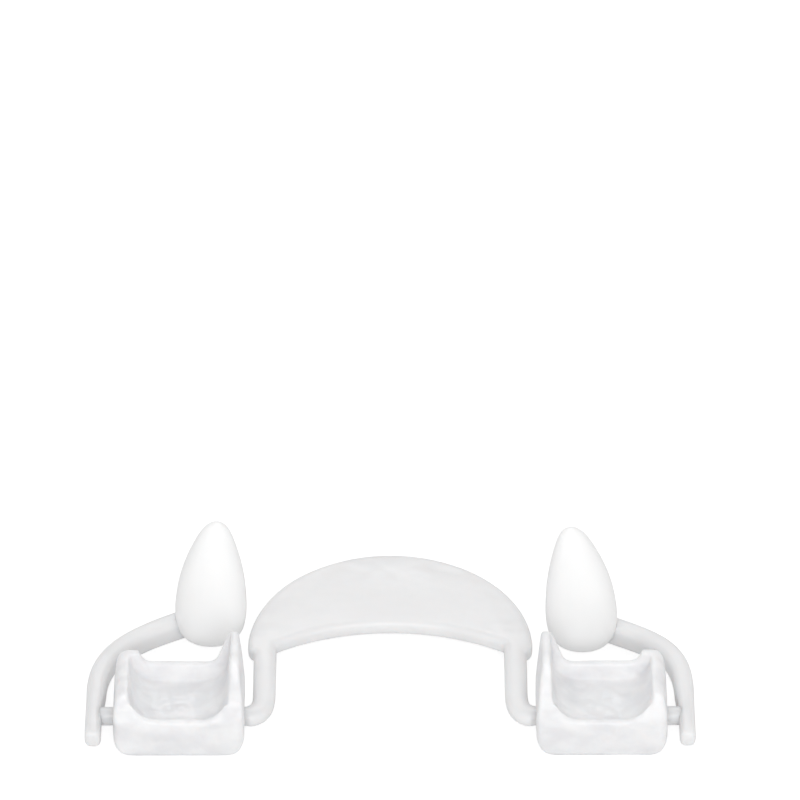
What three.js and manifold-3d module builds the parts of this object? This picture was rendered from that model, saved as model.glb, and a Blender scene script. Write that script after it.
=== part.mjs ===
// Retractable fang denture: a rigid lever with two fangs that turns in two tooth trays.
// Millimetres. X runs left to right, Y from the throat side to the front teeth, Z is up.
// It lies flat: tray undersides and fang roots on the surface, tray openings and tips up.
// Shapes are drawn round the hinge axis (Y = 0), then the group moves their box onto the origin.

import * as THREE from 'three';
import { mergeVertices } from 'three/addons/utils/BufferGeometryUtils.js';
import Module from 'manifold-3d';

const wasm = await Module();
wasm.setup();

// Gap between pieces that turn in or seat on each other
const clearance = 0.3;

// Hinge shaft, parallel to X, round which both trays turn
const shaftHeight = 1.9;
const shaftRadius = 0.95;
const spigotRadius = 0.35;

// Tooth trays
const trayCentreX = 20.65;
const trayWidth = 12.8;
const trayLength = 8.0;
const trayCornerRadius = 2.0;
const trayEdgeRadius = 0.45;
const trayPlanRadius = 0.8;
const troughFloorHeight = 3.85;
const troughWidth = 9.3;
const troughCornerRadius = 2.9;
const troughEndRadius = 0.9;
const endWall = 0.85;
const nearLipHeight = 4.4;
const nearLipWidth = 8.2;
const nearLipCorner = 2.4;
const farWallHeight = 5.8;
const farNotchWidth = 6.9;
const farNotchFlare = 0.85;
const farNotchCorner = 1.0;
const tongueWallHeight = 9.7;
const tongueWallLean = 0.5;
const tongueWallRadius = 0.4;
const cheekWallHeight = 6.9;
const cheekWallLean = 0.4;
const cheekWallRadius = 1.2;
const wallTopWidth = 0.85;
const wallSetback = 2.7;
const wallCornerRadius = 1.1;

// Palatal band, the crescent plate that the tongue pushes
const bandThickness = 1.7;
const bandEdgeRadius = 0.45;
const bandNearEdgeRadius = 0.8;
const bandOverhang = 0.7;
const bandOuterReach = 24.0;
const bandInnerRadius = 22.3;
const bandInnerReach = 13.1;
const shoulderRadius = 0.9;

// Legs from the band to the shaft
const legWidth = 2.05;
const legThickness = 1.7;
const legEdgeRadius = 0.8;
const legTrayGap = 0.85;
const legBendLength = 3.0;

// Fang arms outside the trays
const armTrayGap = 1.2;
const armWidth = 1.6;
const armThickness = 1.93;
const armEdgeRadius = 0.55;
const armTailLength = 3.7;
const armStraightLength = 3.0;
const armBendReach = 6.3;
const armEndReach = 5.6;
const armEndAngle = 27;
const armEndForward = 0.25;
const armEndDepth = 0.4;
const armEndSwell = 1.35;
const hubRadius = 1.05;
const pegRadius = 0.5;
const pegLength = 1.3;

// Fangs
const fangLength = 15.2;
const fangWidth = 7.1;
const fangDepth = 5.8;

// The two fangs stand slightly unevenly: inside the tray's middle, forward, and tip offset
const leftFangInset = 2.8;
const leftFangForward = 13.7;
const leftFangTipOffset = 0.8;
const rightFangInset = 1.6;
const rightFangForward = 12.8;
const rightFangTipOffset = 1.3;

// Half widths up the fang, as shares of its length and of half its width
const fangSections = [
  { height: 0.0, breadth: 0.0 },
  { height: 0.004, breadth: 0.2 },
  { height: 0.018, breadth: 0.42 },
  { height: 0.065, breadth: 0.73 },
  { height: 0.13, breadth: 0.915 },
  { height: 0.21, breadth: 0.985 },
  { height: 0.3, breadth: 1.0 },
  { height: 0.4, breadth: 0.975 },
  { height: 0.54, breadth: 0.9 },
  { height: 0.685, breadth: 0.76 },
  { height: 0.82, breadth: 0.577 },
  { height: 0.9, breadth: 0.44 },
  { height: 0.955, breadth: 0.3 },
  { height: 0.99, breadth: 0.13 },
  { height: 1.0, breadth: 0.0 },
];

// Fineness of round stretches
const roundTolerance = 0.02;
const roundSides = 24;
const roundingSteps = 3;
const bendSteps = 24;
const fangSteps = 24;

// Places that follow from the sizes
const trayInnerX = trayCentreX - trayWidth / 2;
const trayOuterX = trayCentreX + trayWidth / 2;
const legX = trayInnerX - legTrayGap - legWidth / 2;
const armX = trayOuterX + armTrayGap + armWidth / 2;
const bandOuterRadius = legX + legWidth / 2 + bandOverhang;
const leftFang = {
  centreX: trayCentreX - leftFangInset,
  forward: leftFangForward,
  lean: leftFangTipOffset,
};
const rightFang = {
  centreX: trayCentreX - rightFangInset,
  forward: rightFangForward,
  lean: rightFangTipOffset,
};
const boreRadius = shaftRadius + clearance;
const hubBoreRadius = spigotRadius + clearance;
const socketRadius = pegRadius + clearance;

const framePlastic = { color: 0xeceef0, roughness: 0.38, metalness: 0 };
const fangPlastic = { color: 0xf4f4f2, roughness: 0.22, metalness: 0 };

/** Solid of a closed geometry, ready to be joined or cut. */
function solidOf(geometry) {
  const bare = geometry.clone();
  bare.deleteAttribute('normal');
  bare.deleteAttribute('uv');
  const merged = mergeVertices(bare, 1e-4);
  const corners = [];
  for (let i = 0; i < merged.index.count; i += 3) {
    const [a, b, c] = [0, 1, 2].map((step) => merged.index.getX(i + step));
    if (a !== b && b !== c && c !== a) corners.push(a, b, c);
  }
  const vertProperties = new Float32Array(merged.attributes.position.array);
  const triVerts = new Uint32Array(corners);
  return new wasm.Manifold(new wasm.Mesh({ numProp: 3, vertProperties, triVerts }));
}

/** Geometry of a finished solid. */
function geometryOf(solid) {
  const mesh = solid.getMesh();
  const geometry = new THREE.BufferGeometry();
  geometry.setAttribute('position', new THREE.BufferAttribute(mesh.vertProperties, 3));
  geometry.setIndex(new THREE.BufferAttribute(mesh.triVerts, 1));
  geometry.computeVertexNormals();
  return geometry;
}

/** Copy of a geometry reflected in X = 0, its faces still pointing out. */
function mirrored(geometry) {
  const copy = geometry.clone().scale(-1, 1, 1);
  const corners = copy.index.array;
  for (let i = 0; i < corners.length; i += 3) {
    [corners[i], corners[i + 1]] = [corners[i + 1], corners[i]];
  }
  copy.computeVertexNormals();
  return copy;
}

/** Shape extruded along Z between two heights, its end edges rounded. */
function slab(shape, from, to, rounding = 0) {
  const settings = {
    depth: to - from - 2 * rounding,
    bevelEnabled: rounding > 0,
    bevelSize: rounding,
    bevelThickness: rounding,
    bevelOffset: -rounding,
    bevelSegments: roundingSteps,
  };
  return new THREE.ExtrudeGeometry(shape, settings).translate(0, 0, from + rounding);
}

/** Front outline (X, Z) extruded along Y between two places. */
function slabAlongY(shape, from, to, rounding = 0) {
  return slab(shape, -to, -from, rounding).rotateX(Math.PI / 2);
}

/** Side outline (Y, Z) extruded along X between two places. */
function slabAlongX(shape, from, to, rounding = 0) {
  return slab(shape, from, to, rounding).rotateX(Math.PI / 2).rotateZ(Math.PI / 2);
}

/** Round bar along X on the hinge axis. */
function barAlongX(radius, from, to) {
  const bar = new THREE.CylinderGeometry(radius, radius, to - from, roundSides);
  return bar.rotateZ(Math.PI / 2).translate((from + to) / 2, 0, shaftHeight);
}

/** Points of an arc, close enough together to stay within the round tolerance. */
function arcPoints(centreX, centreY, radius, from, turn) {
  const step = 2 * Math.acos(1 - Math.min(roundTolerance / radius, 0.2));
  const steps = Math.ceil(Math.abs(turn) / step);
  return Array.from({ length: steps + 1 }, (_, i) => {
    const angle = from + (turn * i) / steps;
    return new THREE.Vector2(
      centreX + radius * Math.cos(angle),
      centreY + radius * Math.sin(angle),
    );
  });
}

/** Closed outline through corner points, each rounded by its own radius. */
function roundedOutline(corners) {
  const count = corners.length;
  return new THREE.Shape(corners.flatMap(({ x, y, radius }, i) => {
    const corner = new THREE.Vector2(x, y);
    if (radius === 0) return [corner];
    const before = corners[(i + count - 1) % count];
    const after = corners[(i + 1) % count];
    const back = new THREE.Vector2(before.x, before.y).sub(corner).normalize();
    const onward = new THREE.Vector2(after.x, after.y).sub(corner).normalize();
    const halfAngle = Math.acos(back.dot(onward)) / 2;
    const inward = back.clone().add(onward).normalize();
    const centre = inward.multiplyScalar(radius / Math.sin(halfAngle)).add(corner);
    const start = back.multiplyScalar(radius / Math.tan(halfAngle)).add(corner).sub(centre);
    const end = onward.multiplyScalar(radius / Math.tan(halfAngle)).add(corner).sub(centre);
    const turn = Math.atan2(start.cross(end), start.dot(end));
    return arcPoints(centre.x, centre.y, radius, start.angle(), turn);
  }));
}

/** Rectangle round the origin, its corners rounded. */
function roundedRectangle(sizeX, sizeY, radius) {
  return roundedOutline([
    { x: -sizeX / 2, y: -sizeY / 2, radius },
    { x: sizeX / 2, y: -sizeY / 2, radius },
    { x: sizeX / 2, y: sizeY / 2, radius },
    { x: -sizeX / 2, y: sizeY / 2, radius },
  ]);
}

/** Bar of a section (across, up) swept along a level path, swelling to its end from a share on. */
function levelBar(section, path, endSwell = 1, swellFrom = 0) {
  const settings = { depth: 1, steps: bendSteps, bevelEnabled: false };
  const bar = new THREE.ExtrudeGeometry(section, settings);
  const places = bar.attributes.position;
  for (let i = 0; i < places.count; i += 1) {
    const share = places.getZ(i);
    const middle = path.getPointAt(share);
    const ahead = path.getTangentAt(share);
    const rise = Math.max(0, share - swellFrom) / (1 - swellFrom);
    const swell = 1 + (endSwell - 1) * rise ** 2;
    const across = places.getX(i) * swell;
    const up = places.getY(i) * swell;
    places.setXYZ(i, middle.x - across * ahead.y, middle.y + across * ahead.x, shaftHeight + up);
  }
  return bar;
}

/** Y halfway across the band's width, at a distance from the denture's middle. */
function bandMiddleAt(x) {
  const innerEdge = bandInnerReach - bandInnerRadius + Math.sqrt(bandInnerRadius ** 2 - x ** 2);
  const outerEdge = bandOuterReach - bandOuterRadius + Math.sqrt(bandOuterRadius ** 2 - x ** 2);
  return (innerEdge + outerEdge) / 2;
}

/** Half of a disc with round shoulders, its rim rounded above and below. */
function bandDisc() {
  const outerCentre = bandOuterReach - bandOuterRadius;
  const shoulderX = bandOuterRadius - shoulderRadius;
  const shape = new THREE.Shape([
    ...arcPoints(-shoulderX, outerCentre, shoulderRadius, -Math.PI / 2, -Math.PI / 2),
    ...arcPoints(0, outerCentre, bandOuterRadius, Math.PI, -Math.PI).slice(1),
    ...arcPoints(shoulderX, outerCentre, shoulderRadius, 0, -Math.PI / 2).slice(1),
  ]);
  const underside = shaftHeight - bandThickness / 2;
  return solidOf(slab(shape, underside, underside + bandThickness, bandEdgeRadius));
}

/** Round cut that leaves the band's near edge, flared so that this edge comes out rounded. */
function bandInnerCut() {
  const rim = bandInnerRadius + bandNearEdgeRadius;
  const rise = bandThickness / 2;
  const shoulder = rise - bandNearEdgeRadius;
  const flare = arcPoints(rim, shoulder, bandNearEdgeRadius, Math.PI / 2, Math.PI / 2);
  const lower = flare.map(({ x, y }) => new THREE.Vector2(x, -y));
  const profile = [
    new THREE.Vector2(0, -2 * rise),
    new THREE.Vector2(rim, -2 * rise),
    ...lower,
    ...flare.reverse(),
    new THREE.Vector2(rim, 2 * rise),
    new THREE.Vector2(0, 2 * rise),
  ];
  const cut = new THREE.LatheGeometry(profile, 4 * roundSides).rotateX(Math.PI / 2);
  return solidOf(cut.translate(0, bandInnerReach - bandInnerRadius, shaftHeight));
}

/** Crescent plate between an outer and an inner arc. */
function bandPlate() {
  return bandDisc().subtract(bandInnerCut());
}

/** Right leg: from inside the band back to the hinge axis and out to the tray. */
function leg() {
  const path = new THREE.Path();
  const endX = trayInnerX - clearance;
  path.moveTo(legX, bandMiddleAt(legX));
  path.lineTo(legX, legBendLength);
  path.quadraticCurveTo(legX, 0, endX, 0);
  const section = roundedRectangle(legWidth, legThickness, legEdgeRadius);
  return solidOf(levelBar(section, path));
}

/** Right half of the shaft: through the tray, then thinner through the arm's hub. */
function shaft() {
  const hubFace = trayOuterX + armTrayGap - clearance;
  const outerEnd = armX + armWidth / 2;
  const bar = solidOf(barAlongX(shaftRadius, trayInnerX - 2 * clearance, hubFace));
  return bar.add(solidOf(barAlongX(spigotRadius, trayCentreX, outerEnd)));
}

function palatalBand() {
  const rightSide = leg().add(shaft());
  const leftSide = solidOf(mirrored(geometryOf(rightSide)));
  return geometryOf(bandPlate().add(rightSide).add(leftSide));
}

/** Right tray as a block, its tall wall on the tongue side and its low wall on the cheek side. */
function trayBlock() {
  const halfWidth = trayWidth / 2;
  const halfLength = trayLength / 2;
  const front = roundedOutline([
    { x: -halfWidth, y: 0, radius: trayCornerRadius },
    { x: halfWidth, y: 0, radius: trayCornerRadius },
    { x: halfWidth, y: nearLipHeight, radius: 0 },
    { x: halfWidth - cheekWallLean, y: cheekWallHeight, radius: cheekWallRadius },
    { x: 0, y: cheekWallHeight, radius: 0 },
    { x: 0, y: tongueWallHeight, radius: 0 },
    { x: tongueWallLean - halfWidth, y: tongueWallHeight, radius: tongueWallRadius },
    { x: -halfWidth, y: nearLipHeight, radius: 0 },
  ]);
  const side = roundedOutline([
    { x: -halfLength, y: 0, radius: trayEdgeRadius },
    { x: halfLength, y: 0, radius: trayEdgeRadius },
    { x: halfLength, y: tongueWallHeight, radius: wallCornerRadius },
    { x: wallSetback - halfLength, y: tongueWallHeight, radius: wallCornerRadius },
    { x: -halfLength, y: nearLipHeight, radius: trayEdgeRadius },
  ]);
  const plan = roundedRectangle(trayWidth, trayLength, trayPlanRadius);
  return solidOf(slabAlongY(front, -trayLength, trayLength))
    .intersect(solidOf(slabAlongX(side, -trayWidth, trayWidth)))
    .intersect(solidOf(slab(plan, -tongueWallHeight, 2 * tongueWallHeight)));
}

/** Open-topped cut of a width at its floor and, flared, at the tall wall's top. */
function cutOutline(floorHeight, floorWidth, topWidth, radius) {
  const top = 2 * tongueWallHeight;
  const flare = (topWidth - floorWidth) / 2;
  const slope = flare / (tongueWallHeight - floorHeight);
  const reach = floorWidth / 2 + slope * (top - floorHeight);
  return roundedOutline([
    { x: -floorWidth / 2, y: floorHeight, radius },
    { x: floorWidth / 2, y: floorHeight, radius },
    { x: reach, y: top, radius: 0 },
    { x: -reach, y: top, radius: 0 },
  ]);
}

function toothTray() {
  const halfLength = trayLength / 2;
  const troughEnd = halfLength - endWall;
  const wallGap = trayWidth - 2 * (tongueWallLean + wallTopWidth);
  const trough = cutOutline(troughFloorHeight, troughWidth, wallGap, troughCornerRadius);
  const nearLip = cutOutline(nearLipHeight, nearLipWidth, wallGap, nearLipCorner);
  const farTop = farNotchWidth + 2 * farNotchFlare;
  const farNotch = cutOutline(farWallHeight, farNotchWidth, farTop, farNotchCorner);
  const bore = barAlongX(boreRadius, -trayWidth, trayWidth);
  return geometryOf(trayBlock()
    .subtract(solidOf(slabAlongY(trough, -troughEnd, troughEnd, troughEndRadius)))
    .subtract(solidOf(slabAlongY(nearLip, -trayLength, 0)))
    .subtract(solidOf(slabAlongY(farNotch, 0, trayLength)))
    .subtract(solidOf(bore)));
}

/** Half width of the fang at a height, without its lean. */
function fangHalfWidthAt(height) {
  const share = height / fangLength;
  const above = fangSections.findIndex((section) => section.height >= share);
  const low = fangSections[above - 1];
  const high = fangSections[above];
  const blend = (share - low.height) / (high.height - low.height);
  return THREE.MathUtils.lerp(low.breadth, high.breadth, blend) * fangWidth / 2;
}

/** Fang without its socket, on the right side, grown by a margin all round. */
function fangBody({ centreX, forward, lean }, margin = 0) {
  const outline = fangSections.map(({ height, breadth }) => (
    new THREE.Vector2(breadth * (fangWidth / 2 + margin), height * (fangLength + 2 * margin))
  ));
  const profile = new THREE.SplineCurve(outline).getPoints(fangSteps);
  profile[0].x = 0;
  profile[fangSteps].x = 0;
  const body = new THREE.LatheGeometry(profile, roundSides).rotateX(Math.PI / 2);
  body.scale(1, (fangDepth + 2 * margin) / (fangWidth + 2 * margin), 1).translate(0, 0, -margin);
  const places = body.attributes.position;
  for (let i = 0; i < places.count; i += 1) {
    const rise = places.getZ(i) / fangLength;
    places.setX(i, places.getX(i) - lean * rise * rise);
  }
  return solidOf(body.translate(centreX, forward, 0));
}

/** Where the arm's centre line ends, just inside the fang's cheek side. */
function armEndPoint({ centreX, forward }) {
  const endX = centreX + fangHalfWidthAt(shaftHeight) - armEndDepth;
  return new THREE.Vector2(endX, forward + armEndForward);
}

const armEndDirection = new THREE.Vector2(-1, 0)
  .rotateAround(new THREE.Vector2(), -THREE.MathUtils.degToRad(armEndAngle));

/** Round peg from inside the arm's end into the fang, at the end's own angle. */
function peg(placing, radius, length) {
  const middle = armEndPoint(placing);
  const rod = new THREE.CylinderGeometry(radius, radius, 2 * length, roundSides);
  rod.rotateZ(armEndDirection.angle() - Math.PI / 2);
  return solidOf(rod.translate(middle.x, middle.y, shaftHeight));
}

/** Arm on the right side, from its tail past the shaft's hub to its peg in the fang. */
function fangArm(placing) {
  const end = armEndPoint(placing);
  const bendEnd = armEndDirection.clone().multiplyScalar(-armEndReach).add(end);
  const path = new THREE.Path();
  path.moveTo(armX, -armTailLength);
  path.lineTo(armX, armStraightLength);
  path.bezierCurveTo(
    armX, armStraightLength + armBendReach, bendEnd.x, bendEnd.y, end.x, end.y,
  );
  const section = roundedRectangle(armWidth, armThickness, armEdgeRadius);
  const hub = barAlongX(hubRadius, armX - armWidth / 2, armX + armWidth / 2);
  const bendStart = (armTailLength + armStraightLength) / path.getLength();
  return geometryOf(solidOf(levelBar(section, path, armEndSwell, bendStart))
    .add(solidOf(hub))
    .subtract(solidOf(barAlongX(hubBoreRadius, trayOuterX, 2 * armX)))
    .subtract(fangBody(placing, clearance))
    .add(peg(placing, pegRadius, pegLength)));
}

function fang(placing) {
  return geometryOf(fangBody(placing)
    .subtract(peg(placing, socketRadius, pegLength + clearance)));
}

/** Named mesh with a material of its own. */
function piece(name, geometry, finish) {
  const mesh = new THREE.Mesh(geometry, new THREE.MeshStandardMaterial(finish));
  mesh.name = name;
  return mesh;
}

const denture = new THREE.Group();
denture.add(piece('palatal_band', palatalBand(), framePlastic));

const trayGeometry = toothTray().translate(trayCentreX, 0, 0);
denture.add(piece('tooth_tray_left', mirrored(trayGeometry), framePlastic));
denture.add(piece('tooth_tray_right', trayGeometry, framePlastic));

denture.add(piece('fang_arm_left', mirrored(fangArm(leftFang)), framePlastic));
denture.add(piece('fang_arm_right', fangArm(rightFang), framePlastic));
denture.add(piece('fang_left', mirrored(fang(leftFang)), fangPlastic));
denture.add(piece('fang_right', fang(rightFang), fangPlastic));

denture.position.y = -(bandOuterReach - trayLength / 2) / 2;

export default denture;
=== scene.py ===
"""Retractable fang denture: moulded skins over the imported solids, finishes, studio and camera.

Sizes are in millimetres round the hinge axis (Y = 0 on the axis). A finished piece is moved to the
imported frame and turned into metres.
"""

import logging
import math
from dataclasses import dataclass, field, replace
from enum import Enum
from typing import Callable, Sequence

import bmesh
import bpy
from mathutils import Matrix, Vector, noise
from mathutils.geometry import interpolate_bezier

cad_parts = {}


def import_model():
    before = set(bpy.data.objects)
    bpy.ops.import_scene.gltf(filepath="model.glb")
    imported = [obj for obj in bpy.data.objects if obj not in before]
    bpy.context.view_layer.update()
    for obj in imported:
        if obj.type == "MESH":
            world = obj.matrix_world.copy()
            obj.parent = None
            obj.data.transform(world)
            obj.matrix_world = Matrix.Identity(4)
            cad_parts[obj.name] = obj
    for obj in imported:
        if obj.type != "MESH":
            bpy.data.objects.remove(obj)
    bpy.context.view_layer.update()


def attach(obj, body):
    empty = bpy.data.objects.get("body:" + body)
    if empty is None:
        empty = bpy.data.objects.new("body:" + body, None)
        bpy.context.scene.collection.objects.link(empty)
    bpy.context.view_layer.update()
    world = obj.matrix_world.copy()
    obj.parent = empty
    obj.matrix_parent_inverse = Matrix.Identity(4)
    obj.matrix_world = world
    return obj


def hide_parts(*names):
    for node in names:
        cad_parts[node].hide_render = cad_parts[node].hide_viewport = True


logger = logging.getLogger("fang_denture")

MILLIMETRE = 0.001
AXIS_PLACE_Y = -10.0
SHAFT_HEIGHT = 1.9
IMAGE_SIDE = 800

CORNER_STEPS = 8
END_STEPS = 4
BAR_SIDES = 64
MERGE_DISTANCE = 0.0005

# Sockets of a Mix node set to colours, which share their names with its other kinds.
MIX_FACTOR, MIX_FIRST, MIX_SECOND, MIX_RESULT = 0, 6, 7, 2

# Planes that outlines are drawn in: seen from above, from the near side and from the right.
PLAN = Matrix.Identity(4)
FRONT = Matrix(((1, 0, 0, 0), (0, 0, -1, 0), (0, 1, 0, 0), (0, 0, 0, 1)))
SIDE = Matrix(((0, 0, 1, 0), (1, 0, 0, 0), (0, 1, 0, 0), (0, 0, 0, 1)))


class Side(Enum):
    """Side of the denture, with the sign of its X."""

    LEFT = -1
    RIGHT = 1

    @property
    def word(self) -> str:
        """Name used in pieces and nodes."""
        return self.name.lower()


class Join(Enum):
    """How a boolean combines two closed shapes."""

    ADD = "UNION"
    CUT = "DIFFERENCE"
    KEEP = "INTERSECT"


class Slot(Enum):
    """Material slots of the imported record."""

    FRAME = "frame_plastic"
    FANG = "fang_plastic"


@dataclass(frozen=True)
class Corner:
    """Corner of an outline, rounded by a radius."""

    across: float
    up: float
    radius: float = 0.0


def rounded_rectangle(width: float, height: float, radius: float) -> list[Corner]:
    """Gives the corners of a rectangle round the origin.

    Args:
        width: Size across.
        height: Size up.
        radius: Rounding of each corner.

    Returns:
        Four corners in order.
    """
    half, rise = width / 2, height / 2
    return [
        Corner(-half, -rise, radius),
        Corner(half, -rise, radius),
        Corner(half, rise, radius),
        Corner(-half, rise, radius),
    ]


def smooth_share(share: float) -> float:
    """Smooth step of a share, held between 0 and 1."""
    held = max(0.0, min(1.0, share))
    return held * held * (3 - 2 * held)


class Blank:
    """A closed shape in millimetres that mesh operators build up."""

    def __init__(self) -> None:
        """Starts empty."""
        self.mesh = bmesh.new()

    def outline(self, corners: Sequence[Corner], plane: Matrix) -> bmesh.types.BMFace:
        """Makes the blank's first face, flat and with rounded corners.

        Args:
            corners: Corners in order, in the face's own plane.
            plane: Takes that plane to its place.

        Returns:
            The new face.
        """
        points = [self.mesh.verts.new((c.across, c.up, 0)) for c in corners]
        self.mesh.faces.new(points)
        for index, (vert, corner) in enumerate(zip(points, corners)):
            before = corners[index - 1]
            after = corners[(index + 1) % len(corners)]
            back = Vector((before.across - corner.across, before.up - corner.up))
            onward = Vector((after.across - corner.across, after.up - corner.up))
            if corner.radius > 0:
                bmesh.ops.bevel(
                    self.mesh,
                    geom=[vert],
                    offset=corner.radius / math.tan(back.angle(onward) / 2),
                    offset_type="OFFSET",
                    segments=CORNER_STEPS,
                    profile=0.5,
                    affect="VERTICES",
                    material=-1,
                )
        bmesh.ops.transform(self.mesh, matrix=plane, verts=self.mesh.verts)
        self.mesh.faces.ensure_lookup_table()
        return self.mesh.faces[0]

    def grow(self, face: bmesh.types.BMFace, move: Matrix) -> bmesh.types.BMFace:
        """Extrudes a face and moves the new one.

        Args:
            face: Face that is extruded.
            move: Takes the new face from the old one's place to its own.

        Returns:
            The face at the new end.
        """
        grown = bmesh.ops.extrude_face_region(self.mesh, geom=[face])["geom"]
        verts = [part for part in grown if isinstance(part, bmesh.types.BMVert)]
        bmesh.ops.transform(self.mesh, matrix=move, verts=verts)
        return next(part for part in grown if isinstance(part, bmesh.types.BMFace))

    def prism(self, corners: Sequence[Corner], plane: Matrix, start: float, end: float) -> "Blank":
        """Extrudes an outline square to its plane.

        Args:
            corners: Corners of the outline.
            plane: Takes the outline's plane to its place through the origin.
            start: Where the first end lies, along the plane's normal.
            end: Where the last end lies.

        Returns:
            The blank.
        """
        normal = plane.to_3x3() @ Vector((0, 0, 1))
        face = self.outline(corners, Matrix.Translation(normal * start) @ plane)
        self.grow(face, Matrix.Translation(normal * (end - start)))
        return self.close()

    def sweep(
        self,
        corners: Sequence[Corner],
        places: Sequence[Matrix],
        rounding: float = 0.0,
    ) -> "Blank":
        """Grows a bar of one section through a row of places.

        Args:
            corners: Section, across and up.
            places: Where the section stands, from the first end to the last.
            rounding: How much the edges of the first end are rounded.

        Returns:
            The blank.
        """
        face = self.outline(corners, places[-1])
        for before, after in zip(places[:0:-1], places[-2::-1]):
            face = self.grow(face, after @ before.inverted())
        if rounding > 0:
            bmesh.ops.bevel(
                self.mesh,
                geom=list(face.edges),
                offset=rounding,
                offset_type="OFFSET",
                segments=END_STEPS,
                profile=0.5,
                affect="EDGES",
                material=-1,
            )
        return self.close()

    def bar(self, radius: float, start: Vector, end: Vector) -> "Blank":
        """Adds a round bar between two points.

        Args:
            radius: Radius of the bar.
            start: Middle of the first end.
            end: Middle of the last end.

        Returns:
            The blank.
        """
        along = end - start
        turn = along.to_track_quat("Z", "Y").to_matrix().to_4x4()
        bmesh.ops.create_cone(
            self.mesh,
            cap_ends=True,
            segments=BAR_SIDES,
            radius1=radius,
            radius2=radius,
            depth=along.length,
            matrix=Matrix.Translation((start + end) / 2) @ turn,
        )
        return self

    def lathe(self, profile: Sequence[Vector], steps: int) -> "Blank":
        """Spins a profile round Z.

        Args:
            profile: Points (radius, 0, height) from the bottom pole to the top one.
            steps: Facets round the axis.

        Returns:
            The blank.
        """
        chain = [self.mesh.verts.new(point) for point in profile]
        edges = [self.mesh.edges.new(pair) for pair in zip(chain, chain[1:])]
        bmesh.ops.spin(
            self.mesh,
            geom=[*chain, *edges],
            cent=(0, 0, 0),
            axis=(0, 0, 1),
            dvec=(0, 0, 0),
            angle=2 * math.pi,
            steps=steps,
            use_merge=True,
            use_duplicate=False,
        )
        bmesh.ops.remove_doubles(self.mesh, verts=self.mesh.verts, dist=MERGE_DISTANCE)
        return self.close()

    def close(self) -> "Blank":
        """Turns all faces outwards and gives the blank back."""
        bmesh.ops.recalc_face_normals(self.mesh, faces=self.mesh.faces)
        return self

    def take(self, other: "Blank") -> "Blank":
        """Adds another blank's shape, which is used up.

        Args:
            other: Blank that is added.

        Returns:
            This blank.
        """
        carrier = bpy.data.meshes.new("carrier")
        other.mesh.to_mesh(carrier)
        other.mesh.free()
        self.mesh.from_mesh(carrier)
        bpy.data.meshes.remove(carrier)
        return self

    def mirror(self) -> "Blank":
        """Reflects the blank in X = 0, its faces still outwards, and gives it back."""
        bmesh.ops.scale(self.mesh, vec=(-1, 1, 1), verts=self.mesh.verts)
        bmesh.ops.reverse_faces(self.mesh, faces=self.mesh.faces)
        return self

    def bend(self, move: Callable[[Vector], Vector]) -> "Blank":
        """Moves each point by a rule and gives the blank back."""
        for vert in self.mesh.verts:
            vert.co = move(vert.co.copy())
        return self

    def stand(self, name: str) -> bpy.types.Object:
        """Puts the shape in the scene, still in millimetres, and frees the blank."""
        shape = bpy.data.meshes.new(name)
        self.mesh.to_mesh(shape)
        self.mesh.free()
        body = bpy.data.objects.new(name, shape)
        bpy.context.scene.collection.objects.link(body)
        return body


def settle(body: bpy.types.Object) -> None:
    """Applies all modifiers of an object to its mesh."""
    graph = bpy.context.evaluated_depsgraph_get()
    shape = bpy.data.meshes.new_from_object(body.evaluated_get(graph))
    body.modifiers.clear()
    body.data = shape


def combine(body: bpy.types.Object, tool: Blank, how: Join) -> None:
    """Joins, cuts or trims an object with a blank, which is used up.

    Args:
        body: Object that is changed.
        tool: Shape that changes it.
        how: Kind of boolean.
    """
    helper = tool.stand("helper")
    boolean = body.modifiers.new(how.name, "BOOLEAN")
    boolean.operation = how.value
    boolean.solver = "EXACT"
    boolean.object = helper
    settle(body)
    bpy.data.objects.remove(helper)


@dataclass(frozen=True)
class Moulding:
    """How a blank's surface is drawn together into one smooth skin."""

    voxel: float = 0.12
    softening: int = 18
    soften_factor: float = 0.5
    waviness: float = 0.02
    wave_length: float = 3.5
    seed: float = 0.0

    def mould(self, body: bpy.types.Object) -> None:
        """Fuses overlapping shells, rounds the edges and lets the surface wander a little.

        Args:
            body: Object in millimetres.
        """
        remesh = body.modifiers.new("fuse", "REMESH")
        remesh.mode = "VOXEL"
        remesh.voxel_size = self.voxel
        remesh.adaptivity = 0.0
        soften = body.modifiers.new("soften", "SMOOTH")
        soften.factor = self.soften_factor
        soften.iterations = self.softening
        settle(body)
        shape = bmesh.new()
        shape.from_mesh(body.data)
        shape.normal_update()
        offset = Vector((self.seed, 2 * self.seed, 0))
        for vert in shape.verts:
            swell = noise.noise(vert.co / self.wave_length + offset) * self.waviness
            vert.co += vert.normal * min(swell, 0.0)
        shape.to_mesh(body.data)
        shape.free()


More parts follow.
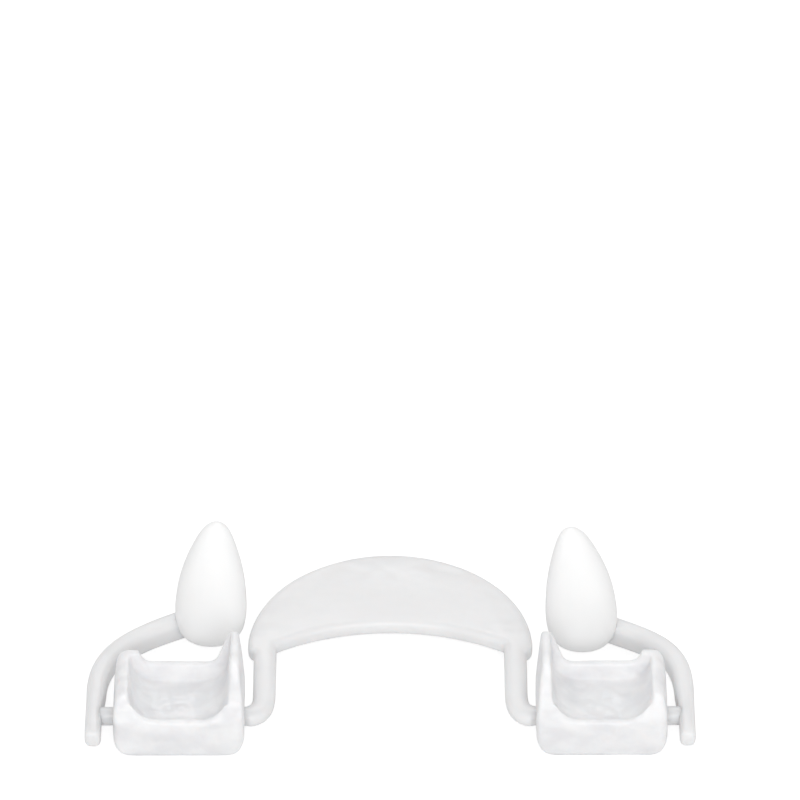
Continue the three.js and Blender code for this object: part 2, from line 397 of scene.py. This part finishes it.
class Value:
    """A number that varies over a surface, with arithmetic that adds Math nodes."""

    def __init__(self, graph: "NodeGraph", socket: bpy.types.NodeSocket) -> None:
        """Wraps a node's output socket."""
        self.graph = graph
        self.socket = socket

    def combined(self, operation: str, *operands: object) -> "Value":
        """Adds one Math node.

        Args:
            operation: Blender's name of the operation.
            operands: Numbers or values, in the node's order.

        Returns:
            The node's result.
        """
        settings = {"operation": operation}
        node = self.graph.node("ShaderNodeMath", settings, dict(enumerate(operands)))
        return Value(self.graph, node.outputs[0])

    def __add__(self, other: object) -> "Value":
        """Sum."""
        return self.combined("ADD", self, other)

    def __sub__(self, other: object) -> "Value":
        """Difference."""
        return self.combined("SUBTRACT", self, other)

    def __rsub__(self, other: object) -> "Value":
        """Difference from a number."""
        return self.combined("SUBTRACT", other, self)

    def __mul__(self, other: object) -> "Value":
        """Product."""
        return self.combined("MULTIPLY", self, other)

    __radd__ = __add__
    __rmul__ = __mul__

    def between(self, low: float, high: float) -> "Value":
        """Smooth step from 0 at low to 1 at high."""
        settings = {"interpolation_type": "SMOOTHSTEP"}
        inputs = {"Value": self, "From Min": low, "From Max": high, "To Min": 0.0, "To Max": 1.0}
        node = self.graph.node("ShaderNodeMapRange", settings, inputs)
        return Value(self.graph, node.outputs["Result"])


class NodeGraph:
    """Nodes of one material or world, made by one method."""

    def __init__(self, owner: bpy.types.ID) -> None:
        """Empties the owner's node tree."""
        owner.use_nodes = True
        self.tree = owner.node_tree
        self.tree.nodes.clear()

    def node(
        self,
        kind: str,
        settings: dict[str, object] | None = None,
        inputs: dict[str | int, object] | None = None,
    ) -> bpy.types.Node:
        """Adds a node.

        Args:
            kind: Blender's node type.
            settings: Properties, set before the sockets.
            inputs: Values, wrapped values or sockets, by input name or number.

        Returns:
            The node.
        """
        node = self.tree.nodes.new(kind)
        for name, setting in (settings or {}).items():
            setattr(node, name, setting)
        for name, given in (inputs or {}).items():
            if isinstance(given, Value):
                given = given.socket
            if isinstance(given, bpy.types.NodeSocket):
                self.tree.links.new(given, node.inputs[name])
            else:
                node.inputs[name].default_value = given
        return node

    def cloud(self, place: bpy.types.NodeSocket, size: float, detail: float) -> Value:
        """Soft noise of one size.

        Args:
            place: Coordinates in metres.
            size: Size of its patches in millimetres.
            detail: Finer octaves.

        Returns:
            Noise round 0.5.
        """
        scale = 1 / (size * MILLIMETRE)
        inputs = {"Vector": place, "Scale": scale, "Detail": detail, "Roughness": 0.5}
        return Value(self, self.node("ShaderNodeTexNoise", None, inputs).outputs["Fac"])


@dataclass(frozen=True)
class MouldedPlastic:
    """Injection moulded plastic: cloudy body, slow waves and a fine peel."""

    name: str
    slot: Slot
    pale: tuple[float, float, float]
    deep: tuple[float, float, float]
    roughness: float
    roughness_spread: float
    cloud_size: float
    wave_size: float
    wave_depth: float
    peel_size: float
    peel_depth: float
    flow_stretch: tuple[float, float, float]
    subsurface: float
    subsurface_depth: float
    coat: float
    coat_roughness: float
    ior: float = 1.49
    cloud_detail: float = 3.0
    wave_detail: float = 1.0
    peel_detail: float = 2.0
    patch_low: float = 0.3
    patch_high: float = 0.7
    scatter: tuple[float, float, float] = (1.0, 0.9, 0.85)

    def material(self) -> bpy.types.Material:
        """Makes the node material.

        Returns:
            The material.
        """
        made = bpy.data.materials.new(self.name)
        graph = NodeGraph(made)
        place = graph.node("ShaderNodeTexCoord").outputs["Object"]
        stretch = {"Vector": place, "Scale": self.flow_stretch}
        flow_place = graph.node("ShaderNodeMapping", None, stretch).outputs["Vector"]
        flow = graph.cloud(flow_place, self.cloud_size, self.cloud_detail)
        patches = flow.between(self.patch_low, self.patch_high)
        waves = graph.cloud(place, self.wave_size, self.wave_detail)
        peel = graph.cloud(place, self.peel_size, self.peel_detail)
        tone = graph.node(
            "ShaderNodeMix",
            {"data_type": "RGBA"},
            {MIX_FACTOR: patches, MIX_FIRST: (*self.deep, 1.0), MIX_SECOND: (*self.pale, 1.0)},
        )
        roughness = (patches - 0.5) * self.roughness_spread + self.roughness
        slow = graph.node(
            "ShaderNodeBump",
            None,
            {"Strength": 1.0, "Distance": self.wave_depth * MILLIMETRE, "Height": waves},
        )
        fine = graph.node(
            "ShaderNodeBump",
            None,
            {
                "Strength": 1.0,
                "Distance": self.peel_depth * MILLIMETRE,
                "Height": peel,
                "Normal": slow.outputs["Normal"],
            },
        )
        shader = graph.node(
            "ShaderNodeBsdfPrincipled",
            None,
            {
                "Base Color": tone.outputs[MIX_RESULT],
                "Roughness": roughness,
                "Normal": fine.outputs["Normal"],
                "IOR": self.ior,
                "Subsurface Weight": self.subsurface,
                "Subsurface Radius": self.scatter,
                "Subsurface Scale": self.subsurface_depth * MILLIMETRE,
                "Coat Weight": self.coat,
                "Coat Roughness": self.coat_roughness,
            },
        )
        graph.node("ShaderNodeOutputMaterial", None, {"Surface": shader.outputs["BSDF"]})
        return made


FRAME_FINISH = MouldedPlastic(
    name="moulded_frame_plastic",
    slot=Slot.FRAME,
    pale=(0.8, 0.8, 0.804),
    deep=(0.765, 0.766, 0.772),
    roughness=0.36,
    roughness_spread=0.12,
    cloud_size=4.5,
    wave_size=2.6,
    wave_depth=0.16,
    peel_size=0.55,
    peel_depth=0.0025,
    flow_stretch=(0.5, 1.0, 1.0),
    subsurface=0.65,
    subsurface_depth=1.4,
    coat=0.0,
    coat_roughness=0.2,
)

TRAY_FINISH = replace(
    FRAME_FINISH,
    name="moulded_tray_plastic",
    pale=(0.86, 0.86, 0.866),
    deep=(0.785, 0.785, 0.8),
    roughness=0.34,
    cloud_size=2.4,
    wave_size=1.7,
    wave_depth=0.42,
    flow_stretch=(0.7, 1.0, 1.0),
)

FANG_FINISH = MouldedPlastic(
    name="polished_fang_plastic",
    slot=Slot.FANG,
    pale=(0.975, 0.975, 0.973),
    deep=(0.955, 0.955, 0.951),
    roughness=0.32,
    roughness_spread=0.06,
    cloud_size=3.2,
    wave_size=4.0,
    wave_depth=0.03,
    peel_size=0.4,
    peel_depth=0.001,
    flow_stretch=(1.0, 1.0, 0.3),
    subsurface=0.1,
    subsurface_depth=0.8,
    coat=0.25,
    coat_roughness=0.22,
)


@dataclass
class Dresser:
    """Turns finished shapes into the pieces of the dressed part."""

    materials: dict[MouldedPlastic, bpy.types.Material] = field(default_factory=dict)

    def material(self, finish: MouldedPlastic) -> bpy.types.Material:
        """Gives a finish's material, which is made once."""
        if finish not in self.materials:
            self.materials[finish] = finish.material()
        return self.materials[finish]

    def dress(
        self,
        shape: bpy.types.Object,
        node: str,
        rides_on: str,
        finish: MouldedPlastic,
    ) -> None:
        """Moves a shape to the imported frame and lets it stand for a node.

        Args:
            shape: Object in millimetres round the hinge axis.
            node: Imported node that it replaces.
            rides_on: Body that it moves with.
            finish: Plastic that it is made of.
        """
        scale = Matrix.Diagonal((MILLIMETRE, MILLIMETRE, MILLIMETRE, 1.0))
        shape.data.transform(scale @ Matrix.Translation((0, AXIS_PLACE_Y, 0)))
        shape.data.shade_smooth()
        shape.data.materials.clear()
        shape.data.materials.append(self.material(finish))
        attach(shape, rides_on)
        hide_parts(node)
        logger.info("%s: %d faces, rides on %s", shape.name, len(shape.data.polygons), rides_on)


@dataclass(frozen=True)
class ToothTray:
    """Open trough on a side tooth: tall wall on the tongue side, low wall on the cheek side."""

    centre_x: float = 20.65
    width: float = 12.8
    length: float = 8.0
    corner_radius: float = 2.0
    edge_radius: float = 0.45
    plan_radius: float = 0.8
    trough_floor: float = 3.85
    trough_width: float = 9.3
    trough_corner: float = 2.9
    end_wall: float = 0.85
    near_lip: float = 4.4
    near_lip_width: float = 8.2
    near_lip_corner: float = 2.4
    far_wall: float = 5.8
    far_notch_width: float = 6.9
    far_notch_flare: float = 1.5
    far_notch_corner: float = 1.0
    tongue_wall: float = 9.7
    tongue_lean: float = 0.5
    tongue_round: float = 0.4
    cheek_wall: float = 6.9
    cheek_lean: float = 0.4
    cheek_round: float = 1.2
    wall_top: float = 0.85
    wall_setback: float = 2.7
    wall_corner: float = 1.1
    bore_radius: float = 1.25
    allowance: float = 0.3
    moulding: Moulding = Moulding(voxel=0.11, softening=45, waviness=0.09, wave_length=3.2)

    def front(self) -> list[Corner]:
        """Outline seen from the throat side, its tongue side on the left."""
        half = self.width / 2
        tall, low = self.tongue_wall + self.allowance, self.cheek_wall + self.allowance
        return [
            Corner(-half, 0, self.corner_radius),
            Corner(half, 0, self.corner_radius),
            Corner(half, self.near_lip),
            Corner(half - self.cheek_lean, low, self.cheek_round),
            Corner(0, low),
            Corner(0, tall),
            Corner(self.tongue_lean - half, tall, self.tongue_round),
            Corner(-half, self.near_lip),
        ]

    def profile(self) -> list[Corner]:
        """Outline seen from the cheek side, its walls set back from the near end."""
        half = self.length / 2
        top = self.tongue_wall + self.allowance
        return [
            Corner(-half, 0, self.edge_radius),
            Corner(half, 0, self.edge_radius),
            Corner(half, top, self.wall_corner),
            Corner(self.wall_setback - half, top, self.wall_corner),
            Corner(-half, self.near_lip, self.edge_radius),
        ]

    def opening(
        self,
        floor: float,
        floor_width: float,
        top_width: float,
        radius: float,
    ) -> list[Corner]:
        """Outline of an open-topped cut that flares upwards.

        Args:
            floor: Height of its floor.
            floor_width: Width at the floor.
            top_width: Width at the tall wall's top.
            radius: Rounding of its floor's corners.

        Returns:
            Corners of the cut.
        """
        top = 2 * self.tongue_wall
        slope = (top_width - floor_width) / 2 / (self.tongue_wall - floor)
        reach = floor_width / 2 + slope * (top - floor)
        return [
            Corner(-floor_width / 2, floor, radius),
            Corner(floor_width / 2, floor, radius),
            Corner(reach, top),
            Corner(-reach, top),
        ]

    def build(self, side: Side, dresser: Dresser) -> None:
        """Builds and dresses one tray.

        Args:
            side: Side of the denture.
            dresser: Gives it its finish and place.
        """
        wide, deep = self.width, self.length
        reach = deep / 2 - self.end_wall
        wall_gap = wide - 2 * (self.tongue_lean + self.wall_top)
        far_top = self.far_notch_width + 2 * self.far_notch_flare
        trough = self.opening(self.trough_floor, self.trough_width, wall_gap, self.trough_corner)
        lip = self.opening(self.near_lip, self.near_lip_width, wall_gap, self.near_lip_corner)
        notch = self.opening(self.far_wall, self.far_notch_width, far_top, self.far_notch_corner)
        plan = rounded_rectangle(wide, deep, self.plan_radius)
        tray = Blank().prism(self.front(), FRONT, -deep, deep).stand(f"moulded_tray_{side.word}")
        combine(tray, Blank().prism(self.profile(), SIDE, -wide, wide), Join.KEEP)
        combine(tray, Blank().prism(plan, PLAN, -deep, 3 * deep), Join.KEEP)
        combine(tray, Blank().prism(trough, FRONT, -reach, reach), Join.CUT)
        combine(tray, Blank().prism(lip, FRONT, 0, deep), Join.CUT)
        combine(tray, Blank().prism(notch, FRONT, -deep, 0), Join.CUT)
        ends = Vector((-wide, 0, SHAFT_HEIGHT)), Vector((wide, 0, SHAFT_HEIGHT))
        combine(tray, Blank().bar(self.bore_radius, *ends), Join.CUT)
        tray.data.transform(Matrix.Translation((self.centre_x, 0, 0)))
        if side is Side.LEFT:
            tray.data.transform(Matrix.Diagonal((-1, 1, 1, 1)))
            tray.data.flip_normals()
        self.moulding.mould(tray)
        dresser.dress(tray, f"tooth_tray_{side.word}", f"tray_{side.word}", TRAY_FINISH)


def level_places(points: Sequence[Vector]) -> list[Matrix]:
    """Gives upright section places along a level path.

    Args:
        points: Points of the path in X and Y.

    Returns:
        A place for each point, square to the path.
    """
    places = []
    for index, point in enumerate(points):
        before = points[max(index - 1, 0)]
        after = points[min(index + 1, len(points) - 1)]
        ahead = (after - before).normalized()
        turn = Matrix(((-ahead.y, 0, ahead.x), (ahead.x, 0, ahead.y), (0, 1, 0))).to_4x4()
        places.append(Matrix.Translation((point.x, point.y, SHAFT_HEIGHT)) @ turn)
    return places


@dataclass(frozen=True)
class PalatalBand:
    """Crescent plate that the tongue pushes, its two legs and the shafts they end in."""

    thickness: float = 1.7
    outer_radius: float = 14.1
    outer_reach: float = 24.0
    inner_radius: float = 22.3
    inner_reach: float = 13.1
    shoulder_radius: float = 0.9
    outer_edge: float = 0.45
    near_edge: float = 0.55
    edge_steps: int = 6
    outer_facets: int = 240
    inner_facets: int = 360
    crown_width: float = 3.0
    crown_run: float = 4.0
    crown_drop: float = 0.1
    leg_x: float = 12.375
    leg_width: float = 2.3
    leg_thickness: float = 1.7
    leg_edge: float = 0.8
    leg_bend: float = 3.0
    bend_pull: float = 2 / 3
    bend_points: int = 25
    tray_inner_x: float = 14.25
    arm_inner_x: float = 28.25
    shaft_radius: float = 0.95
    shaft_start: float = 0.6
    shaft_end: float = 0.4
    clearance: float = 0.3
    moulding: Moulding = Moulding(
        voxel=0.12,
        softening=34,
        waviness=0.05,
        wave_length=5.0,
        seed=3.0,
    )

    def rim(self, radius: float, edge: float) -> list[Vector]:
        """Draws half the section of a disc, its rim rounded, or flared where the edge is negative.

        Args:
            radius: Radius of the rim's middle.
            edge: Rounding of its two corners.

        Returns:
            Points (radius, 0, height) from the bottom pole to the top one.
        """
        half = self.thickness / 2
        arc = []
        for step in range(self.edge_steps + 1):
            turn = math.radians(90 * step / self.edge_steps)
            inset, drop = edge * (1 - math.sin(turn)), abs(edge) * (1 - math.cos(turn))
            arc.append((radius - inset, half - drop))
        if edge < 0:
            arc.insert(0, (radius - edge, 2 * self.thickness))
        upper = [Vector((across, 0, height)) for across, height in [(0, arc[0][1]), *arc]]
        return [Vector((p.x, 0, -p.z)) for p in upper] + upper[::-1]

    def plate(self) -> bpy.types.Object:
        """Cuts the crescent from a disc, with a flared disc and a block with round shoulders."""
        outer = Vector((0, self.outer_reach - self.outer_radius, SHAFT_HEIGHT))
        inner = Vector((0, self.inner_reach - self.inner_radius, SHAFT_HEIGHT))
        disc = Blank().lathe(self.rim(self.outer_radius, self.outer_edge), self.outer_facets)
        body = disc.bend(lambda point: point + outer).stand("moulded_band")
        foot = outer.y - self.shoulder_radius
        block = [
            Corner(-self.outer_radius, foot, self.shoulder_radius),
            Corner(self.outer_radius, foot, self.shoulder_radius),
            Corner(self.outer_radius, 2 * self.outer_reach),
            Corner(-self.outer_radius, 2 * self.outer_reach),
        ]
        combine(body, Blank().prism(block, PLAN, 0, 2 * SHAFT_HEIGHT), Join.KEEP)
        cutter = Blank().lathe(self.rim(self.inner_radius, -self.near_edge), self.inner_facets)
        combine(body, cutter.bend(lambda point: point + inner), Join.CUT)
        return body

    def leg(self, side: Side) -> Blank:
        """Sweeps a leg from inside the band round to the tray."""
        inner_rise = math.sqrt(self.inner_radius**2 - self.leg_x**2)
        outer_rise = math.sqrt(self.outer_radius**2 - self.leg_x**2)
        inner = self.inner_reach - self.inner_radius + inner_rise
        outer = self.outer_reach - self.outer_radius + outer_rise
        start, corner = Vector((self.leg_x, self.leg_bend)), Vector((self.leg_x, 0))
        end = Vector((self.tray_inner_x - self.clearance, 0))
        first, last = start.lerp(corner, self.bend_pull), end.lerp(corner, self.bend_pull)
        bend = interpolate_bezier(start, first, last, end, self.bend_points)
        points = [Vector((self.leg_x, (inner + outer) / 2)), *(Vector(p[:2]) for p in bend)]
        section = rounded_rectangle(self.leg_width, self.leg_thickness, self.leg_edge)
        leg = Blank().sweep(section, level_places(points))
        return leg.mirror() if side is Side.LEFT else leg

    def shaft(self, side: Side) -> Blank:
        """Makes a shaft from the leg's end through the tray into the fang arm."""
        start = Vector((side.value * (self.tray_inner_x - self.shaft_start), 0, SHAFT_HEIGHT))
        end = Vector((side.value * (self.arm_inner_x + self.shaft_end), 0, SHAFT_HEIGHT))
        return Blank().bar(self.shaft_radius, start, end)

    def crown(self, body: bpy.types.Object) -> None:
        """Lets the plate's top fall away softly towards its outer edge.

        Args:
            body: Moulded band in millimetres.
        """
        outer = Vector((0, self.outer_reach - self.outer_radius))
        shape = bmesh.new()
        shape.from_mesh(body.data)
        for vert in shape.verts:
            place = Vector(vert.co[:2])
            inset = self.outer_radius - (place - outer).length
            rim = smooth_share(1 - inset / self.crown_width)
            rim *= smooth_share((place.y - outer.y) / self.crown_run)
            height = max(0.0, (vert.co.z - SHAFT_HEIGHT) / (self.thickness / 2))
            vert.co.z -= height * self.crown_drop * rim
        shape.to_mesh(body.data)
        shape.free()

    def build(self, dresser: Dresser) -> None:
        """Builds and dresses the band.

        Args:
            dresser: Gives it its finish and place.
        """
        body = self.plate()
        whole = Blank()
        whole.mesh.from_mesh(body.data)
        for side in Side:
            whole.take(self.leg(side)).take(self.shaft(side))
        whole.mesh.to_mesh(body.data)
        whole.mesh.free()
        self.moulding.mould(body)
        self.crown(body)
        dresser.dress(body, "palatal_band", "lever", FRAME_FINISH)


@dataclass(frozen=True)
class Fang:
    """One fang: an egg-shaped root drawn out to a blunt tip that leans to the middle."""

    side: Side
    centre_x: float
    forward: float
    lean: float
    length: float = 15.2
    width: float = 7.1
    depth: float = 5.8
    squareness: float = 2.16
    curve_steps: int = 6
    facets: int = 72
    sections: tuple[tuple[float, float], ...] = (
        (0.0, 0.0),
        (0.004, 0.2),
        (0.018, 0.42),
        (0.065, 0.73),
        (0.13, 0.915),
        (0.21, 0.985),
        (0.3, 1.0),
        (0.4, 0.975),
        (0.54, 0.9),
        (0.685, 0.76),
        (0.82, 0.577),
        (0.9, 0.44),
        (0.955, 0.3),
        (0.99, 0.13),
        (1.0, 0.0),
    )

    def half_width(self, height: float) -> float:
        """Half width at a height, without the lean."""
        share = height / self.length
        for (low, narrow), (high, wide) in zip(self.sections, self.sections[1:]):
            if high >= share:
                return (narrow + (wide - narrow) * (share - low) / (high - low)) * self.width / 2
        return 0.0

    def outline(self) -> list[Vector]:
        """Draws one smooth curve through the sections.

        Returns:
            Points (radius, 0, height) from root to tip.
        """
        knots = [Vector((b * self.width / 2, 0, h * self.length)) for h, b in self.sections]
        ends = [knots[0], *knots, knots[-1]]
        points = []
        # A smooth curve's handles reach a sixth of the way between a knot's neighbours.
        for before, start, end, after in zip(ends, ends[1:], ends[2:], ends[3:]):
            first, last = start + (end - before) / 6, end - (after - start) / 6
            points += interpolate_bezier(start, first, last, end, self.curve_steps + 1)[:-1]
        points.append(knots[-1])
        return [Vector((max(p.x, 0.0), 0, min(max(p.z, 0.0), self.length))) for p in points]

    def form(self, point: Vector) -> Vector:
        """Gives the round shape its oval, slightly square section, its lean and its place."""
        angle = math.atan2(point.y, point.x)
        power = self.squareness
        swell = (abs(math.cos(angle)) ** power + abs(math.sin(angle)) ** power) ** (-1 / power)
        rise = point.z / self.length
        across = point.x * swell - self.lean * rise * rise + self.centre_x
        ahead = point.y * swell * self.depth / self.width + self.forward
        return Vector((self.side.value * across, ahead, point.z))

    def build(self, dresser: Dresser) -> None:
        """Builds and dresses the fang.

        Args:
            dresser: Gives it its finish and place.
        """
        shape = Blank().lathe(self.outline(), self.facets).bend(self.form).close()
        fang = shape.stand(f"polished_fang_{self.side.word}")
        dresser.dress(fang, f"fang_{self.side.word}", "lever", FANG_FINISH)


@dataclass(frozen=True)
class FangArm:
    """Curved bar from its tail, past the shaft's end, round to the fang."""

    fang: Fang
    x: float = 29.05
    width: float = 1.6
    thickness: float = 1.93
    edge: float = 0.55
    tail: float = 3.7
    straight: float = 3.0
    bend_reach: float = 6.3
    end_reach: float = 5.6
    end_angle: float = 27.0
    end_forward: float = 0.25
    end_depth: float = 0.4
    root: float = 0.9
    bend_swell: float = 1.2
    end_swell: float = 1.35
    tail_steps: int = 3
    tail_rounding: float = 0.9
    curve_points: int = 33
    moulding: Moulding = Moulding(
        voxel=0.11,
        softening=16,
        waviness=0.05,
        wave_length=4.0,
        seed=7.0,
    )

    def path(self) -> list[Vector]:
        """Points of the arm's middle line from the tail to inside the fang."""
        angle = math.radians(self.end_angle)
        ahead = Vector((-math.cos(angle), math.sin(angle)))
        end_x = self.fang.centre_x + self.fang.half_width(SHAFT_HEIGHT) - self.end_depth
        end = Vector((end_x, self.fang.forward + self.end_forward))
        start = Vector((self.x, self.straight))
        first = start + Vector((0, self.bend_reach))
        last = end - ahead * self.end_reach
        curve = interpolate_bezier(start, first, last, end, self.curve_points)
        tail = [Vector((self.x, y)) for y in (-self.tail, -self.tail / 2, 0)]
        return [*tail, *(Vector(p[:2]) for p in curve), end + ahead * self.root]

    def build(self, dresser: Dresser) -> None:
        """Builds and dresses the arm.

        Args:
            dresser: Gives it its finish and place.
        """
        side = self.fang.side
        places = level_places(self.path())
        bend = len(places) - self.tail_steps
        for step in range(bend):
            share = step / (bend - 1)
            swell = self.bend_swell + (self.end_swell - self.bend_swell) * share
            inwards = (swell - 1) * self.width / 2 * (1 - share)
            places[self.tail_steps + step] @= Matrix.Translation((inwards, 0, 0))
            places[self.tail_steps + step] @= Matrix.Diagonal((swell, swell, 1, 1))
        section = rounded_rectangle(self.width, self.thickness, self.edge)
        whole = Blank().sweep(section, places, self.edge * self.tail_rounding)
        if side is Side.LEFT:
            whole.mirror()
        arm = whole.stand(f"moulded_arm_{side.word}")
        self.moulding.mould(arm)
        dresser.dress(arm, f"fang_arm_{side.word}", "lever", FRAME_FINISH)


@dataclass(frozen=True)
class SoftBox:
    """Square lamp with a soft face, aimed at the part."""

    name: str
    azimuth: float
    elevation: float
    distance: float
    side: float
    strength: float

    def hang(self, aim: Vector) -> None:
        """Makes the lamp.

        Args:
            aim: Point that it looks at.
        """
        lamp = bpy.data.lights.new(self.name, "AREA")
        lamp.shape = "SQUARE"
        lamp.size = self.side
        lamp.energy = self.strength
        turn, rise = math.radians(self.azimuth), math.radians(self.elevation)
        level = math.cos(rise)
        back = Vector((math.sin(turn) * level, -math.cos(turn) * level, math.sin(rise)))
        body = bpy.data.objects.new(self.name, lamp)
        body.location = aim + back * self.distance
        body.rotation_euler = (-back).to_track_quat("-Z", "Y").to_euler()
        bpy.context.scene.collection.objects.link(body)


@dataclass(frozen=True)
class Studio:
    """White sweep of floor, even white surroundings and soft lamps."""

    floor_side: float = 4.0
    floor_gap: float = 0.00002
    floor_glow: float = 0.66
    floor_bounce: float = 0.24
    floor_tone: float = 0.55
    overhead: float = 0.7
    horizon: float = 0.78
    overhead_from: float = 0.8
    aim_height: float = 0.005
    lamps: tuple[SoftBox, ...] = (
        SoftBox(
            "key_softbox",
            azimuth=-12,
            elevation=62,
            distance=0.55,
            side=0.3,
            strength=0.12,
        ),
        SoftBox(
            "front_softbox",
            azimuth=4,
            elevation=34,
            distance=0.8,
            side=0.4,
            strength=2.15,
        ),
        SoftBox(
            "back_softbox",
            azimuth=180,
            elevation=42,
            distance=0.7,
            side=0.16,
            strength=0.45,
        ),
    )

    def lay_floor(self) -> None:
        """Lays the pale floor: seen from above only, and brighter to the eye than in its light."""
        plane = bmesh.new()
        bmesh.ops.create_grid(plane, x_segments=1, y_segments=1, size=self.floor_side / 2)
        bmesh.ops.translate(plane, vec=(0, 0, -self.floor_gap), verts=plane.verts)
        shape = bpy.data.meshes.new("floor")
        plane.to_mesh(shape)
        plane.free()
        floor = bpy.data.objects.new("floor", shape)
        bpy.context.scene.collection.objects.link(floor)
        made = bpy.data.materials.new("floor_paper")
        graph = NodeGraph(made)
        tone = (self.floor_tone,) * 3 + (1.0,)
        paper = graph.node("ShaderNodeBsdfDiffuse", None, {"Color": tone})
        seen_straight = Value(graph, graph.node("ShaderNodeLightPath").outputs["Is Camera Ray"])
        strength = seen_straight * (self.floor_glow - self.floor_bounce) + self.floor_bounce
        glow = graph.node("ShaderNodeEmission", None, {"Strength": strength})
        both = graph.node("ShaderNodeAddShader", None, {0: paper.outputs[0], 1: glow.outputs[0]})
        under = graph.node("ShaderNodeNewGeometry").outputs["Backfacing"]
        clear = graph.node("ShaderNodeBsdfTransparent")
        sides = {0: under, 1: both.outputs[0], 2: clear.outputs[0]}
        seen = graph.node("ShaderNodeMixShader", None, sides)
        graph.node("ShaderNodeOutputMaterial", None, {"Surface": seen.outputs[0]})
        shape.materials.append(made)

    def surround(self) -> None:
        """Makes the surroundings: a little brighter at the horizon than overhead."""
        world = bpy.data.worlds.new("white_room")
        bpy.context.scene.world = world
        graph = NodeGraph(world)
        way = graph.node("ShaderNodeTexCoord").outputs["Generated"]
        height = Value(graph, graph.node("ShaderNodeSeparateXYZ", None, {0: way}).outputs["Z"])
        rise = height.between(0.0, self.overhead_from)
        light = rise * (self.overhead - self.horizon) + self.horizon
        sky = graph.node("ShaderNodeBackground", None, {"Color": (1, 1, 1, 1), "Strength": light})
        graph.node("ShaderNodeOutputWorld", None, {"Surface": sky.outputs[0]})

    def build(self) -> None:
        """Sets up the floor, the surroundings, the lamps and plain colours."""
        self.lay_floor()
        self.surround()
        for lamp in self.lamps:
            lamp.hang(Vector((0, 0, self.aim_height)))
        bpy.context.scene.view_settings.view_transform = "Standard"


@dataclass(frozen=True)
class Viewpoint:
    """Camera at the photograph's angle, placed by the point of the hinge axis in the middle."""

    distance: float = 0.7
    elevation: float = 41.0
    focal_pixels: float = 7140.0
    axis_pixel: tuple[float, float] = (387.2, 716.0)
    sensor: float = 36.0
    nearest: float = 0.01
    farthest: float = 20.0

    def build(self) -> None:
        """Makes the scene's camera."""
        lens = bpy.data.cameras.new("camera")
        lens.sensor_width = self.sensor
        lens.lens = self.focal_pixels * self.sensor / IMAGE_SIDE
        lens.clip_start, lens.clip_end = self.nearest, self.farthest
        body = bpy.data.objects.new("camera", lens)
        rise = math.radians(self.elevation)
        target = Vector((0, AXIS_PLACE_Y, SHAFT_HEIGHT)) * MILLIMETRE
        body.location = target + Vector((0, -math.cos(rise), math.sin(rise))) * self.distance
        lift = math.atan((self.axis_pixel[1] - IMAGE_SIDE / 2) / self.focal_pixels)
        swing = math.atan((IMAGE_SIDE / 2 - self.axis_pixel[0]) / self.focal_pixels)
        body.rotation_euler = (math.pi / 2 - rise + lift, 0, -swing)
        bpy.context.scene.collection.objects.link(body)
        bpy.context.scene.camera = body


def main() -> None:
    """Builds the dressed denture, the studio and the camera."""
    logging.basicConfig(level=logging.INFO, format="%(name)s: %(message)s")
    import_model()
    Viewpoint().build()
    Studio().build()
    dresser = Dresser()
    PalatalBand().build(dresser)
    fangs = (
        Fang(Side.LEFT, centre_x=17.85, forward=13.7, lean=0.8),
        Fang(Side.RIGHT, centre_x=19.05, forward=12.8, lean=1.3),
    )
    for fang in fangs:
        ToothTray().build(fang.side, dresser)
        fang.build(dresser)
        FangArm(fang).build(dresser)


if __name__ == "__main__":
    main()
